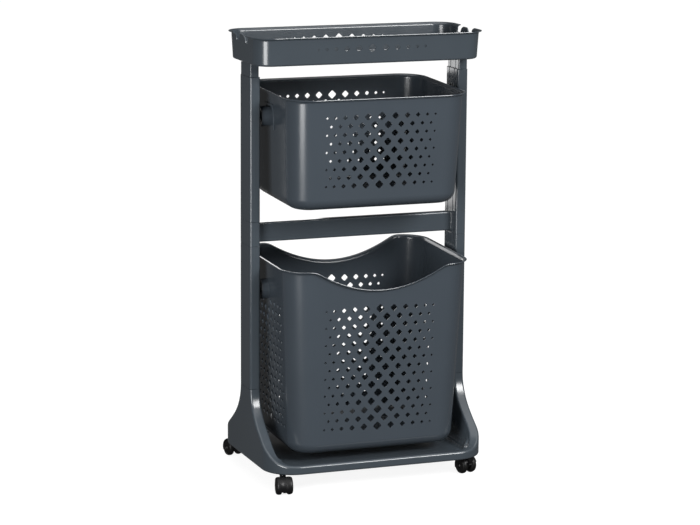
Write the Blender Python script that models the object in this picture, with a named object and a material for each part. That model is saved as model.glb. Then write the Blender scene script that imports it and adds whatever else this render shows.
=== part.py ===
# Laundry sorter on wheels: a moulded plastic frame with two hanging baskets.
# Metres, +Z up, front towards -Y, ground at z = 0.
import bpy
import bmesh
import math
from mathutils import Matrix, Vector

for old in list(bpy.data.objects):
    bpy.data.objects.remove(old, do_unlink=True)

# ---------------------------------------------------------------- dimensions
GAP = 0.0003                # clearance between plugged pieces

POST_OUT = 0.2433           # outer face of the posts, from the centre plane
POST_IN = 0.2203            # inner face of the posts
POST_HY = 0.0328            # half depth of a post
POST_R = 0.0050             # corner radius of a post
POST_WALL = 0.0023
POST_CX = (POST_OUT + POST_IN) / 2.0
POST_HX = (POST_OUT - POST_IN) / 2.0

SEAM_1 = 0.8534             # tray neck on upper post
SEAM_2 = 0.5507             # upper post on mid rail
SEAM_3 = 0.4986             # mid rail on lower post
SEAM_4 = 0.1934             # lower post on base foot
SPIGOT = 0.0320             # length of each plug inside a post

TRAY_HX = 0.2478            # tray outside at its bottom
TRAY_HY = 0.0975
TRAY_R = 0.0340
TRAY_BOTTOM = 0.8816
TRAY_TOP = 0.9405
TRAY_DRAFT_X = 0.035
TRAY_DRAFT_Y = 0.085
TRAY_WALL = 0.0022
TRAY_LIP = 0.0055

UPPER_TOP = 0.8215          # upper basket
UPPER_BOTTOM = 0.5872
UPPER_HX = 0.1945
UPPER_HY = 0.1515
UPPER_KX = 0.035
UPPER_KY = 0.062
UPPER_PIVOT = 0.7680
UPPER_TILT = math.radians(1.4)      # hangs with its front a little low
UPPER_SHIFT = 0.0015

LOWER_TOP = 0.4670          # lower basket
LOWER_BOTTOM = 0.0712
LOWER_HX = 0.2020
LOWER_HY = 0.1500
LOWER_KX = 0.045
LOWER_KY = 0.022
LOWER_PIVOT = 0.4020
LOWER_TILT = math.radians(1.4)
LOWER_SHIFT = 0.0040
DIP_HALF = 0.1450           # half width of the hand dips in the lower rim
DIP_DEPTH = 0.0460

BASKET_R = 0.0500
BASKET_WALL = 0.0022
BASKET_LIP = 0.0055
BASKET_FOOT_R = 0.0240
SLIDE = 0.0028              # both baskets sit a little to the right on their pegs

RAIL_TOP = 0.5450
RAIL_BOTTOM = 0.5035
RAIL_HY = 0.0090

BASE_BOTTOM = 0.0395
BASE_HY = 0.1750
BASE_R = 0.0670
BASE_FLOOR = 0.0500
BASE_LIP = 0.0580
RECESS_HY = 0.1570

PEG_R = 0.0070              # hanger peg journal
PEG_HOLE_R = 0.0071
PEG_SHANK_R = 0.0047

CASTER_X = 0.2115           # swivel axes
CASTER_Y = 0.1515
WHEEL_R = 0.0175
WHEEL_W = 0.0128
WHEEL_IN = 0.0049
TRAIL = 0.0165
AXLE_R = 0.0025
STEM_R = 0.0030
HOOD_TOP = 0.0372
# heading of each caster: the wheels trail along (sin, -cos) of this angle
CASTERS = (
    ("front_left", -1, -1, math.radians(-10.0)),
    ("front_right", 1, -1, math.radians(192.0)),
    ("back_left", -1, 1, math.radians(190.0)),
    ("back_right", 1, 1, math.radians(150.0)),
)

# ---------------------------------------------------------------- materials


def material(name, color, roughness, metallic=0.0):
    mat = bpy.data.materials.new(name)
    mat.use_nodes = True
    bsdf = mat.node_tree.nodes["Principled BSDF"]
    bsdf.inputs["Base Color"].default_value = (color[0], color[1], color[2], 1.0)
    bsdf.inputs["Roughness"].default_value = roughness
    bsdf.inputs["Metallic"].default_value = metallic
    return mat


FRAME_PLASTIC = material("frame_plastic", (0.046, 0.058, 0.068), 0.38)
BASKET_PLASTIC = material("basket_plastic", (0.050, 0.063, 0.074), 0.42)
CASTER_PLASTIC = material("caster_plastic", (0.012, 0.012, 0.013), 0.45)
WHEEL_NYLON = material("wheel_nylon", (0.014, 0.014, 0.014), 0.55)
STEEL = material("steel", (0.62, 0.62, 0.60), 0.25, 1.0)

# ---------------------------------------------------------------- mesh tools


def new_object(name, bm, mat):
    bmesh.ops.recalc_face_normals(bm, faces=bm.faces[:])
    mesh = bpy.data.meshes.new(name)
    bm.to_mesh(mesh)
    bm.free()
    obj = bpy.data.objects.new(name, mesh)
    bpy.context.scene.collection.objects.link(obj)
    if mat is not None:
        mesh.materials.append(mat)
    return obj


def round_rect(hx, hy, r, nx=1, ny=1, nc=6):
    """Points round a rounded rectangle, from the front left corner on."""
    pts = []
    corners = ((1, -1, -90.0), (1, 1, 0.0), (-1, 1, 90.0), (-1, -1, 180.0))
    for sx, sy, start in corners:
        cx = sx * (hx - r)
        cy = sy * (hy - r)
        for k in range(nc + 1):
            a = math.radians(start + 90.0 * k / nc)
            pts.append((cx + r * math.cos(a), cy + r * math.sin(a)))
        end = pts[-1]
        if sx == 1 and sy == -1:
            nxt = (hx, hy - r)
            count = ny
        elif sx == 1 and sy == 1:
            nxt = (-(hx - r), hy)
            count = nx
        elif sx == -1 and sy == 1:
            nxt = (-hx, -(hy - r))
            count = ny
        else:
            nxt = (hx - r, -hy)
            count = nx
        for k in range(1, count):
            t = k / count
            pts.append((end[0] + (nxt[0] - end[0]) * t, end[1] + (nxt[1] - end[1]) * t))
    return pts


def ring(bm, pts, z):
    return [bm.verts.new((p[0], p[1], z if isinstance(z, float) else z(p))) for p in pts]


def skin(bm, rings, closed=False):
    pairs = list(zip(rings[:-1], rings[1:]))
    if closed:
        pairs.append((rings[-1], rings[0]))
    for low, high in pairs:
        n = len(low)
        for i in range(n):
            j = (i + 1) % n
            bm.faces.new((low[i], low[j], high[j], high[i]))


def prism(name, hx, hy, r, z0, z1, cx=0.0, cy=0.0, mat=None, nc=5):
    bm = bmesh.new()
    pts = [(p[0] + cx, p[1] + cy) for p in round_rect(hx, hy, r, nc=nc)]
    rings = [ring(bm, pts, z0), ring(bm, pts, z1)]
    skin(bm, rings)
    bm.faces.new(rings[0][::-1])
    bm.faces.new(rings[1])
    return new_object(name, bm, mat)


def side_prism(name, outline, x0, x1, mat=None):
    """Extrude an outline of (y, z) points along X."""
    bm = bmesh.new()
    rings = [[bm.verts.new((x, p[0], p[1])) for p in outline] for x in (x0, x1)]
    skin(bm, rings)
    bm.faces.new(rings[0][::-1])
    bm.faces.new(rings[1])
    return new_object(name, bm, mat)


def tube(name, hx, hy, r, wall, z0, z1, cx, mat):
    bm = bmesh.new()
    outer = [(p[0] + cx, p[1]) for p in round_rect(hx, hy, r)]
    inner = [(p[0] + cx, p[1]) for p in round_rect(hx - wall, hy - wall, r - wall)]
    rings = [ring(bm, outer, z0), ring(bm, outer, z1), ring(bm, inner, z1), ring(bm, inner, z0)]
    skin(bm, rings, closed=True)
    return new_object(name, bm, mat)


def lathe(name, profile, segments, mat, axis="Z", center=(0.0, 0.0, 0.0)):
    """Turn a closed (radius, height) outline about an axis."""
    bm = bmesh.new()
    columns = []
    for k in range(segments):
        a = 2.0 * math.pi * k / segments
        column = []
        for r, h in profile:
            x = r * math.cos(a)
            y = r * math.sin(a)
            p = (x, y, h) if axis == "Z" else (h, x, y)
            column.append(p)
        columns.append(column)
    poles = {}
    grid = []
    for column in columns:
        verts = []
        for i, p in enumerate(column):
            if profile[i][0] == 0.0:
                if i not in poles:
                    poles[i] = bm.verts.new(p)
                verts.append(poles[i])
            else:
                verts.append(bm.verts.new(p))
        grid.append(verts)
    n = len(profile)
    for k in range(segments):
        a = grid[k]
        b = grid[(k + 1) % segments]
        for i in range(n):
            j = (i + 1) % n
            face = []
            for v in (a[i], b[i], b[j], a[j]):
                if v not in face:
                    face.append(v)
            if len(face) > 2:
                bm.faces.new(face)
    bmesh.ops.translate(bm, vec=center, verts=bm.verts)
    return new_object(name, bm, mat)


def join_tools(tools):
    """One object out of several separate solids."""
    if len(tools) == 1:
        return tools[0]
    bm = bmesh.new()
    for tool in tools:
        bm.from_mesh(tool.data)
        bpy.data.objects.remove(tool, do_unlink=True)
    return new_object("tools", bm, None)


def combine(target, tools, operation):
    """Apply one Boolean with a set of solids, then drop them."""
    tool = join_tools(tools)
    mod = target.modifiers.new("join", "BOOLEAN")
    mod.operation = operation
    mod.solver = "EXACT"
    mod.object = tool
    bpy.context.view_layer.update()
    deps = bpy.context.evaluated_depsgraph_get()
    mesh = bpy.data.meshes.new_from_object(target.evaluated_get(deps))
    target.modifiers.remove(mod)
    old_mesh = target.data
    target.data = mesh
    bpy.data.meshes.remove(old_mesh)
    bpy.data.objects.remove(tool, do_unlink=True)
    bm = bmesh.new()
    bm.from_mesh(mesh)
    bmesh.ops.triangulate(bm, faces=bm.faces[:])
    bm.to_mesh(mesh)
    bm.free()
    return target


def put_origin(obj, point):
    """Move an object's origin without moving its shape."""
    obj.data.transform(Matrix.Translation(-Vector(point)))
    obj.location = point


# ---------------------------------------------------------------- base tray
# Top edge of the side panel: post socket, concave flare, then the front lip.
FLARE = (
    (0.0328, 0.1934),
    (0.0345, 0.1790),
    (0.0397, 0.1640),
    (0.0470, 0.1510),
    (0.0565, 0.1385),
    (0.0690, 0.1262),
    (0.0830, 0.1150),
    (0.0980, 0.1040),
    (0.1130, 0.0940),
    (0.1290, 0.0835),
    (0.1390, 0.0755),
    (0.1480, 0.0690),
    (0.1570, 0.0635),
    (0.1660, 0.0598),
    (0.1760, 0.0580),
)


def flare_outline(inset_y, inset_z, bottom, reach=1.0):
    right = [(max(y - inset_y, 0.001), z - inset_z) for y, z in FLARE]
    right = [p for p in right if p[1] > bottom + 0.002 and p[0] < reach]
    left = [(-y, z) for y, z in right[::-1]]
    return left + right + [(right[-1][0], bottom), (left[0][0], bottom)]


def recess_tool():
    """Space inside the lip, wider higher up where the feet meet the posts."""
    bm = bmesh.new()
    levels = (
        (BASE_FLOOR, 0.2060, RECESS_HY - 0.004, 0.040),
        (0.0560, 0.2110, RECESS_HY, 0.045),
        (0.0800, 0.2150, RECESS_HY + 0.001, 0.048),
        (0.1200, 0.2185, RECESS_HY + 0.002, 0.048),
        (0.1600, 0.2200, RECESS_HY + 0.003, 0.048),
        (0.2400, POST_IN, RECESS_HY + 0.004, 0.048),
    )
    rings = [ring(bm, round_rect(hx, hy, r, nc=5), z) for z, hx, hy, r in levels]
    skin(bm, rings)
    bm.faces.new(rings[0][::-1])
    bm.faces.new(rings[-1])
    return new_object("recess_tool", bm, None)


def spigot_pair(name, z0, z1):
    """Solid plugs that fill both posts."""
    hx = POST_HX - POST_WALL - GAP
    hy = POST_HY - POST_WALL - GAP
    r = POST_R - POST_WALL - GAP
    return [prism(name, hx, hy, r, z0, z1, cx=s * POST_CX) for s in (-1, 1)]


def bore_pair(name, z0, z1):
    hx = POST_HX - POST_WALL - GAP - 0.0024
    hy = POST_HY - POST_WALL - GAP - 0.0024
    return [prism(name, hx, hy, 0.0015, z0, z1, cx=s * POST_CX, nc=2) for s in (-1, 1)]


def build_base():
    base = prism("base_tray", POST_OUT, BASE_HY, BASE_R, BASE_BOTTOM, 0.30, mat=FRAME_PLASTIC, nc=6)
    outline = flare_outline(0.0, 0.0, 0.010)
    combine(base, [side_prism("flare_tool", outline, -0.30, 0.30)], "INTERSECT")
    combine(base, [recess_tool()], "DIFFERENCE")
    # shallow hollow under the floor
    under = prism("under_tool", POST_OUT - 0.003, BASE_HY - 0.003, BASE_R - 0.003, 0.0, BASE_FLOOR - 0.003,
                  nc=6)
    combine(base, [under], "DIFFERENCE")
    # hollow feet
    cavity = flare_outline(0.0060, 0.0080, 0.020, reach=0.1150)
    feet = []
    for side in (-1, 1):
        x0 = side * (POST_IN + 0.0022)
        x1 = side * (POST_OUT - 0.0028)
        feet.append(side_prism("foot_tool", cavity, min(x0, x1), max(x0, x1)))
    combine(base, feet, "DIFFERENCE")
    # bosses that take the caster bushes
    bosses = []
    holes = []
    for name, sx, sy, turn in CASTERS:
        at = (sx * CASTER_X, sy * CASTER_Y, 0.0)
        bosses.append(lathe("boss", ((0.0, BASE_BOTTOM + 0.0002), (0.0095, BASE_BOTTOM + 0.0002),
                                     (0.0095, 0.0560), (0.0, 0.0560)), 16, None, center=at))
        holes.append(lathe("hole", ((0.0, 0.0), (0.0062, 0.0), (0.0062, 0.0550), (0.0, 0.0550)), 16, None, center=at))
    combine(base, bosses, "UNION")
    combine(base, holes, "DIFFERENCE")
    combine(base, spigot_pair("spigot", SEAM_4 - 0.004, SEAM_4 + SPIGOT), "UNION")
    combine(base, bore_pair("bore", SEAM_4 - 0.0100, SEAM_4 + SPIGOT + 0.01), "DIFFERENCE")
    return base


# ---------------------------------------------------------------- posts


def build_posts(level, z0, z1, pivot):
    for side, label in ((-1, "left"), (1, "right")):
        name = level + "_post_" + label
        post = tube(name, POST_HX, POST_HY, POST_R, POST_WALL, z0, z1, side * POST_CX, FRAME_PLASTIC)
        inner = side * POST_CX - side * 0.002
        tool = lathe("peg_hole", ((0.0, side * 0.200), (PEG_SHANK_R + 0.0002, side * 0.200),
                                  (PEG_SHANK_R + 0.0002, inner), (0.0, inner)), 24, None, axis="X",
                     center=(0.0, 0.0, pivot))
        combine(post, [tool], "DIFFERENCE")


def build_peg(name, side, pivot, wall_inner):
    s = float(side)
    flange_out = POST_IN - GAP
    profile = (
        (0.0, s * (POST_IN + 0.0060)),
        (PEG_SHANK_R, s * (POST_IN + 0.0060)),
        (PEG_SHANK_R, s * flange_out),
        (0.0110, s * flange_out),
        (0.0110, s * (flange_out - 0.0015)),
        (PEG_R, s * (flange_out - 0.0015)),
        (PEG_R, s * (wall_inner - 0.0016)),
        (0.0085, s * (wall_inner - 0.0016)),
        (0.0085, s * (wall_inner - 0.0030)),
        (0.0065, s * (wall_inner - 0.0044)),
        (0.0, s * (wall_inner - 0.0044)),
    )
    return lathe(name, profile, 24, FRAME_PLASTIC, axis="X", center=(0.0, 0.0, pivot))


# ---------------------------------------------------------------- mid rail


def build_mid_rail():
    rail = prism("mid_rail", POST_IN + 0.0030, RAIL_HY, 0.0035, RAIL_BOTTOM, RAIL_TOP, mat=FRAME_PLASTIC, nc=4)
    ends = []
    webs = []
    for side in (-1, 1):
        ends.append(prism("end", POST_HX, POST_HY, POST_R, SEAM_3 + GAP, SEAM_2 - GAP, cx=side * POST_CX))
        # small webs that widen the crossbar where it meets the connectors
        x = side * (POST_IN - 0.0020)
        web = prism("web", 0.0060, RAIL_HY + 0.0030, 0.0028, RAIL_BOTTOM - 0.0020, RAIL_TOP + 0.0018, cx=x,
                    nc=4)
        webs.append(web)
    combine(rail, ends, "UNION")
    combine(rail, webs, "UNION")
    combine(rail, spigot_pair("spigot", SEAM_3 - SPIGOT, SEAM_2 + SPIGOT), "UNION")
    combine(rail, bore_pair("bore", SEAM_3 - SPIGOT - 0.01, SEAM_2 + SPIGOT + 0.01), "DIFFERENCE")
    return rail


# ---------------------------------------------------------------- bowls


def bowl(name, spec, rim, mat):
    """A thin-walled tub: up the outside, over the lip, down the inside."""
    hx = spec["hx"]
    hy = spec["hy"]
    top = spec["top"]
    bottom = spec["bottom"]
    wall = spec["wall"]
    lip = spec["lip"]
    foot = spec["foot_r"]
    corner = spec["r"]
    nx = spec["nx"]

    def outline(level, inset):
        x = hx - spec["kx"] * (top - level) - inset
        y = hy - spec["ky"] * (top - level) - inset
        return round_rect(x, y, corner - inset, nx=nx, ny=4, nc=spec["nc"])

    bm = bmesh.new()
    rings = []
    steps = spec["steps"]

    def body(inset, floor, radius, upward):
        part = []
        for k in range(steps + 1):
            a = math.radians(90.0 * k / steps)
            z = floor + radius * (1.0 - math.cos(a))
            part.append(ring(bm, outline(z, inset + radius * (1.0 - math.sin(a))), z))
        for t in spec["levels"]:
            start = floor + radius
            part.append(ring_between(inset, start, t))
        return part if upward else part[::-1]

    def ring_between(inset, start, t):
        pts = outline(start + (top - 0.012 - start) * t, inset)
        return ring(bm, pts, lambda p: start + (top - rim(p) - 0.012 - start) * t)

    rings += body(0.0, bottom, foot, True)
    under = top - 0.0036
    edge = (
        (under, 0.0, 0.0036),
        (under, -lip, 0.0036),
        (top, -lip - 0.0004, 0.0022),
        (top, -lip + 0.0002, 0.0006),
        (top, -lip + 0.0016, 0.0),
        (top, wall - 0.0006, 0.0),
        (top, wall, 0.0006),
    )
    for level, inset, drop in edge:
        pts = outline(top, inset)
        rings.append(ring(bm, pts, lambda p, d=drop: top - rim(p) - d))
    rings += body(wall, bottom + wall, foot - wall, False)
    skin(bm, rings)
    bm.faces.new(rings[0][::-1])
    bm.faces.new(rings[-1])
    return new_object(name, bm, mat)


def flat_rim(p):
    return 0.0


def dip_rim(p):
    """Drop of the lower basket's rim: a shallow arc in the front and back."""
    u = abs(p[0]) / DIP_HALF
    if u >= 1.08:
        return 0.0
    arc = max(1.0 - u * u, 0.0)
    if u > 0.92:
        v = (1.08 - u) / 0.16
        arc = 0.1536 * v * v
    return DIP_DEPTH * arc


def ring_boss(side, wall_x, pivot):
    """Round raised boss on a basket's end, over the hole for the peg."""
    s = float(side)
    inner = wall_x - 0.0012
    outer = POST_IN - 0.0055
    profile = (
        (0.0, s * inner),
        (0.0215, s * inner),
        (0.0215, s * (outer - 0.0020)),
        (0.0195, s * outer),
        (0.0, s * outer),
    )
    return lathe("boss", profile, 24, None, axis="X", center=(SLIDE, 0.0, pivot))


def build_basket(name, top, bottom, hx, hy, kx, ky, pivot, rim, nx, tilt=0.0, shift=0.0):
    spec = {
        "hx": hx, "hy": hy, "kx": kx, "ky": ky, "top": top, "bottom": bottom,
        "wall": BASKET_WALL, "lip": BASKET_LIP, "foot_r": BASKET_FOOT_R, "r": BASKET_R,
        "nx": nx, "nc": 5, "steps": 3, "levels": (0.5, 1.0),
    }
    basket = bowl(name, spec, rim, BASKET_PLASTIC)
    wall_x = hx - kx * (top - pivot)
    center = Vector((0.0, 0.0, pivot))
    turn = Matrix.Translation(center) @ Matrix.Rotation(tilt, 4, "X") @ Matrix.Translation(-center)
    basket.data.transform(Matrix.Translation((SLIDE, -shift, 0.0)) @ turn)
    combine(basket, [ring_boss(side, wall_x, pivot) for side in (-1, 1)], "UNION")
    holes = []
    for s in (-1.0, 1.0):
        profile = ((0.0, s * 0.18), (PEG_HOLE_R, s * 0.18), (PEG_HOLE_R, s * 0.23), (0.0, s * 0.23))
        holes.append(lathe("hole", profile, 24, None, axis="X", center=(0.0, 0.0, pivot)))
    combine(basket, holes, "DIFFERENCE")
    put_origin(basket, (0.0, 0.0, pivot))
    return wall_x - BASKET_WALL - SLIDE


# ---------------------------------------------------------------- top tray


def build_tray():
    spec = {
        "hx": TRAY_HX + TRAY_DRAFT_X * (TRAY_TOP - TRAY_BOTTOM), "hy": TRAY_HY + TRAY_DRAFT_Y * (TRAY_TOP - TRAY_BOTTOM),
        "kx": TRAY_DRAFT_X, "ky": TRAY_DRAFT_Y, "top": TRAY_TOP, "bottom": TRAY_BOTTOM,
        "wall": TRAY_WALL, "lip": TRAY_LIP, "foot_r": 0.0040, "r": TRAY_R + 0.004,
        "nx": 1, "nc": 6, "steps": 2, "levels": (1.0,),
    }
    tray = bowl("top_tray", spec, flat_rim, FRAME_PLASTIC)
    # notches in both end walls, either side of a round-topped tab
    notches = []
    for side in (-1, 1):
        for front in (-1, 1):
            outline = [(front * y, z) for y, z in NOTCH]
            x0 = side * (TRAY_HX - 0.0120)
            x1 = side * (TRAY_HX + 0.0200)
            notches.append(side_prism("notch_tool", outline, min(x0, x1), max(x0, x1)))
    combine(tray, notches, "DIFFERENCE")
    necks = []
    for side in (-1, 1):
        necks.append(prism("neck", POST_HX - 0.00175, POST_HY - 0.0012, POST_R - 0.0008, SEAM_1 + GAP,
                           TRAY_BOTTOM + 0.0014, cx=side * (POST_CX + 0.00075)))
    combine(tray, necks, "UNION")
    combine(tray, spigot_pair("spigot", SEAM_1 - SPIGOT, SEAM_1 + 0.004), "UNION")
    combine(tray, bore_pair("bore", SEAM_1 - SPIGOT - 0.01, TRAY_BOTTOM - 0.0010), "DIFFERENCE")
    return tray


NOTCH = (
    (0.0215, 0.9250),
    (0.0360, 0.9250),
    (0.0384, 0.9262),
    (0.0390, 0.9290),
    (0.0392, 0.9440),
    (0.0020, 0.9440),
    (0.0060, 0.9402),
    (0.0120, 0.9385),
    (0.0170, 0.9350),
    (0.0205, 0.9300),
)

# ---------------------------------------------------------------- casters


def arc_points(cy, cz, r, a0, a1, n):
    out = []
    for k in range(n + 1):
        a = math.radians(a0 + (a1 - a0) * k / n)
        out.append((cy + r * math.cos(a), cz + r * math.sin(a)))
    return out


def build_hood(name):
    """Centre web, curved cover over both wheels and a boss for the stem."""
    cover = arc_points(-TRAIL, WHEEL_R, 0.0197, 40.0, 205.0, 11)
    cover += arc_points(-TRAIL, WHEEL_R, 0.0183, 205.0, 40.0, 11)
    half = WHEEL_IN + WHEEL_W - 0.0004
    hood = side_prism(name, cover, -half, half, CASTER_PLASTIC)
    web = arc_points(-TRAIL, WHEEL_R, 0.0192, 12.0, 215.0, 11)
    web += [(-TRAIL - 0.006, WHEEL_R - 0.0075), (-TRAIL + 0.006, WHEEL_R - 0.0075)]
    combine(hood, [side_prism("web", web, -0.0042, 0.0042)], "UNION")
    boss = ((0.0, 0.0252), (0.0042, 0.0252), (0.0066, 0.0300), (0.0066, HOOD_TOP - 0.0008), (0.0058, HOOD_TOP),
            (0.0, HOOD_TOP))
    combine(hood, [lathe("boss", boss, 16, None)], "UNION")
    hole = ((0.0, 0.0280), (STEM_R + 0.0001, 0.0280), (STEM_R + 0.0001, 0.0600), (0.0, 0.0600))
    combine(hood, [lathe("hole", hole, 16, None)], "DIFFERENCE")
    bore = ((0.0, -0.03), (AXLE_R + 0.0001, -0.03), (AXLE_R + 0.0001, 0.03), (0.0, 0.03))
    tool = lathe("bore", bore, 16, None, axis="X", center=(0.0, -TRAIL, WHEEL_R))
    combine(hood, [tool], "DIFFERENCE")
    return hood


def build_wheel(name, side):
    s = float(side)
    x0 = WHEEL_IN
    x1 = WHEEL_IN + WHEEL_W
    profile = (
        (AXLE_R + 0.0001, s * x0),
        (0.0160, s * x0),
        (WHEEL_R, s * (x0 + 0.0045)),
        (WHEEL_R - 0.0006, s * (x0 + 0.0080)),
        (0.0150, s * (x1 - 0.0012)),
        (0.0110, s * (x1 - 0.0002)),
        (0.0060, s * x1),
        (0.0050, s * (x1 - 0.0014)),
        (AXLE_R + 0.0001, s * (x1 - 0.0014)),
    )
    wheel = lathe(name, profile, 24, WHEEL_NYLON, axis="X")
    return wheel


def build_caster(label, sx, sy, turn):
    at = Vector((sx * CASTER_X, sy * CASTER_Y, 0.0))
    spin = Matrix.Rotation(turn, 4, "Z")
    bush = ((STEM_R + 0.0001, 0.0386), (0.0088, 0.0386), (0.0088, BASE_BOTTOM - 0.0001), (0.0060, BASE_BOTTOM - 0.0001),
            (0.0060, 0.0540), (STEM_R + 0.0001, 0.0540))
    lathe("caster_" + label + "_bush", bush, 16, CASTER_PLASTIC, center=at)
    stem = ((0.0, 0.0282), (STEM_R, 0.0282), (STEM_R, HOOD_TOP + 0.0003), (0.0056, HOOD_TOP + 0.0003),
            (0.0056, 0.0383), (STEM_R, 0.0383), (STEM_R, 0.0530), (0.0, 0.0530))
    stem_obj = lathe("caster_" + label + "_stem", stem, 16, STEEL)
    hood = build_hood("caster_" + label + "_hood")
    for obj in (stem_obj, hood):
        obj.location = at
        obj.rotation_euler = (0.0, 0.0, turn)
    hub = at + spin @ Vector((0.0, -TRAIL, WHEEL_R))
    half = WHEEL_IN + WHEEL_W - 0.0018
    axle = ((0.0, -half), (AXLE_R, -half), (AXLE_R, half), (0.0, half))
    parts = [lathe("caster_" + label + "_axle", axle, 16, STEEL, axis="X")]
    for side, mark in ((-1, "a"), (1, "b")):
        parts.append(build_wheel("caster_" + label + "_wheel_" + mark, side))
    for obj in parts:
        obj.location = hub
        obj.rotation_euler = (0.0, 0.0, turn)


# ---------------------------------------------------------------- assembly
build_base()
build_posts("lower", SEAM_4 + GAP, SEAM_3, LOWER_PIVOT)
build_mid_rail()
build_posts("upper", SEAM_2, SEAM_1, UPPER_PIVOT)
build_tray()
upper_inner = build_basket("upper_basket", UPPER_TOP, UPPER_BOTTOM, UPPER_HX, UPPER_HY, UPPER_KX, UPPER_KY,
                           UPPER_PIVOT, flat_rim, 1, UPPER_TILT, UPPER_SHIFT)
lower_inner = build_basket("lower_basket", LOWER_TOP, LOWER_BOTTOM, LOWER_HX, LOWER_HY, LOWER_KX, LOWER_KY,
                           LOWER_PIVOT, dip_rim, 20, LOWER_TILT, LOWER_SHIFT)
for side, label in ((-1, "left"), (1, "right")):
    build_peg("peg_upper_" + label, side, UPPER_PIVOT, upper_inner)
    build_peg("peg_lower_" + label, side, LOWER_PIVOT, lower_inner)
for label, sx, sy, turn in CASTERS:
    build_caster(label, sx, sy, turn)
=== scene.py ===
# Looks of the laundry sorter: a moulded anthracite frame on twin-wheel casters,
# with a shallow top tray and two perforated baskets hanging from pegs.
# Metres, +Z up, front towards -Y, ground at z = 0.
import math

import bmesh
import bpy
from mathutils import Matrix, Vector


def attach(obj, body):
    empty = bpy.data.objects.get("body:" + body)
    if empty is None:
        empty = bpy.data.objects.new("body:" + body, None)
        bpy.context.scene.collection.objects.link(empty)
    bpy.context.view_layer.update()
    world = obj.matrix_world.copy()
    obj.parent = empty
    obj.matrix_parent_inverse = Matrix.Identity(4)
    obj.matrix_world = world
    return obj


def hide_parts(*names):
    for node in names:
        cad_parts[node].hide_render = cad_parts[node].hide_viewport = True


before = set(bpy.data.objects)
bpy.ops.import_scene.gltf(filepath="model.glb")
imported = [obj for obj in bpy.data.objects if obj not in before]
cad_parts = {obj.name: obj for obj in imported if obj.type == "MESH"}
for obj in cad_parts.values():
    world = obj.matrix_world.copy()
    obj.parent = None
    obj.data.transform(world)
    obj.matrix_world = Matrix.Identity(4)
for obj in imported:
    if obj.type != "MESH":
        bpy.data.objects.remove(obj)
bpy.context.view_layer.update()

# ---------------------------------------------------------------- dimensions
POST_OUT, POST_IN = 0.2433, 0.2203
POST_HY, POST_R = 0.0328, 0.0050
POST_CX = (POST_OUT + POST_IN) / 2.0
POST_HX = (POST_OUT - POST_IN) / 2.0
SEAM_1, SEAM_2, SEAM_3, SEAM_4 = 0.8534, 0.5507, 0.4986, 0.1934
GAP = 0.0003                # clearance between plugged pieces
SLIDE = 0.0028              # both baskets sit a little to the right on their pegs

BASE_BOTTOM, BASE_FLOOR, BASE_LIP = 0.0395, 0.0500, 0.0580
BASE_HY, BASE_R = 0.1750, 0.0670
FLOOR_HX, FLOOR_HY, FLOOR_R = 0.2060, 0.1530, 0.0450
FRONT_LIP = 0.0180

CASTER_X, CASTER_Y = 0.2115, 0.1515
WHEEL_R, WHEEL_IN, WHEEL_W, TRAIL = 0.0175, 0.0049, 0.0128, 0.0165
AXLE_R, STEM_R, HOOD_TOP = 0.0025, 0.0030, 0.0372
CASTERS = (
    ("front_left", -1, -1, math.radians(-10.0)),
    ("front_right", 1, -1, math.radians(192.0)),
    ("back_left", -1, 1, math.radians(190.0)),
    ("back_right", 1, 1, math.radians(150.0)),
)

# Baskets: the height of each pair of pegs, the lean, and the forward shift with it.
UPPER_PIVOT, LOWER_PIVOT = 0.7680, 0.4020
TILT = math.radians(1.4)
UPPER_SHIFT, LOWER_SHIFT = 0.0015, 0.0040
# The lower rim's hand dips: half width, depth, and the blend at either end, which runs
# between two shares of the half width and starts at END_ARC of the depth.
DIP_HALF, DIP_DEPTH, DIP_BACK = 0.1450, 0.0460, 0.1100
DIP_INNER, DIP_OUTER, DIP_BLEND, END_ARC = 0.92, 1.08, 0.16, 0.1536

PEG_R, PEG_SHANK_R, PEG_HOLE_R, PEG_FLANGE_R = 0.0070, 0.0047, 0.0071, 0.0110
BOSS_R, BOSS_SINK = 0.0215, 0.0012      # hanger boss; how far bosses sink into a wall

# Holes: offsets of the columns from the centre plane, height of the top row, row pitch.
COLUMNS = (0.0, 0.0302, 0.0567, 0.0801, 0.1009, 0.1189)
TRAY_COLUMNS = (0.0, 0.0295, 0.0558, 0.0793, 0.0997, 0.1183)
SIDE_COLUMNS = (0.0, 0.0240, 0.0460, 0.0660, 0.0840)
UPPER_TOP_ROW, UPPER_PITCH, UPPER_NARROWING = 0.7826, 0.0180, 0.11
LOWER_TOP_ROW, LOWER_PITCH = 0.3797, 0.0182
TRAY_ROW = 0.9140
CUT_REACH = 0.30            # cutters pass right through both walls

# ---------------------------------------------------------------- materials


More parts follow.
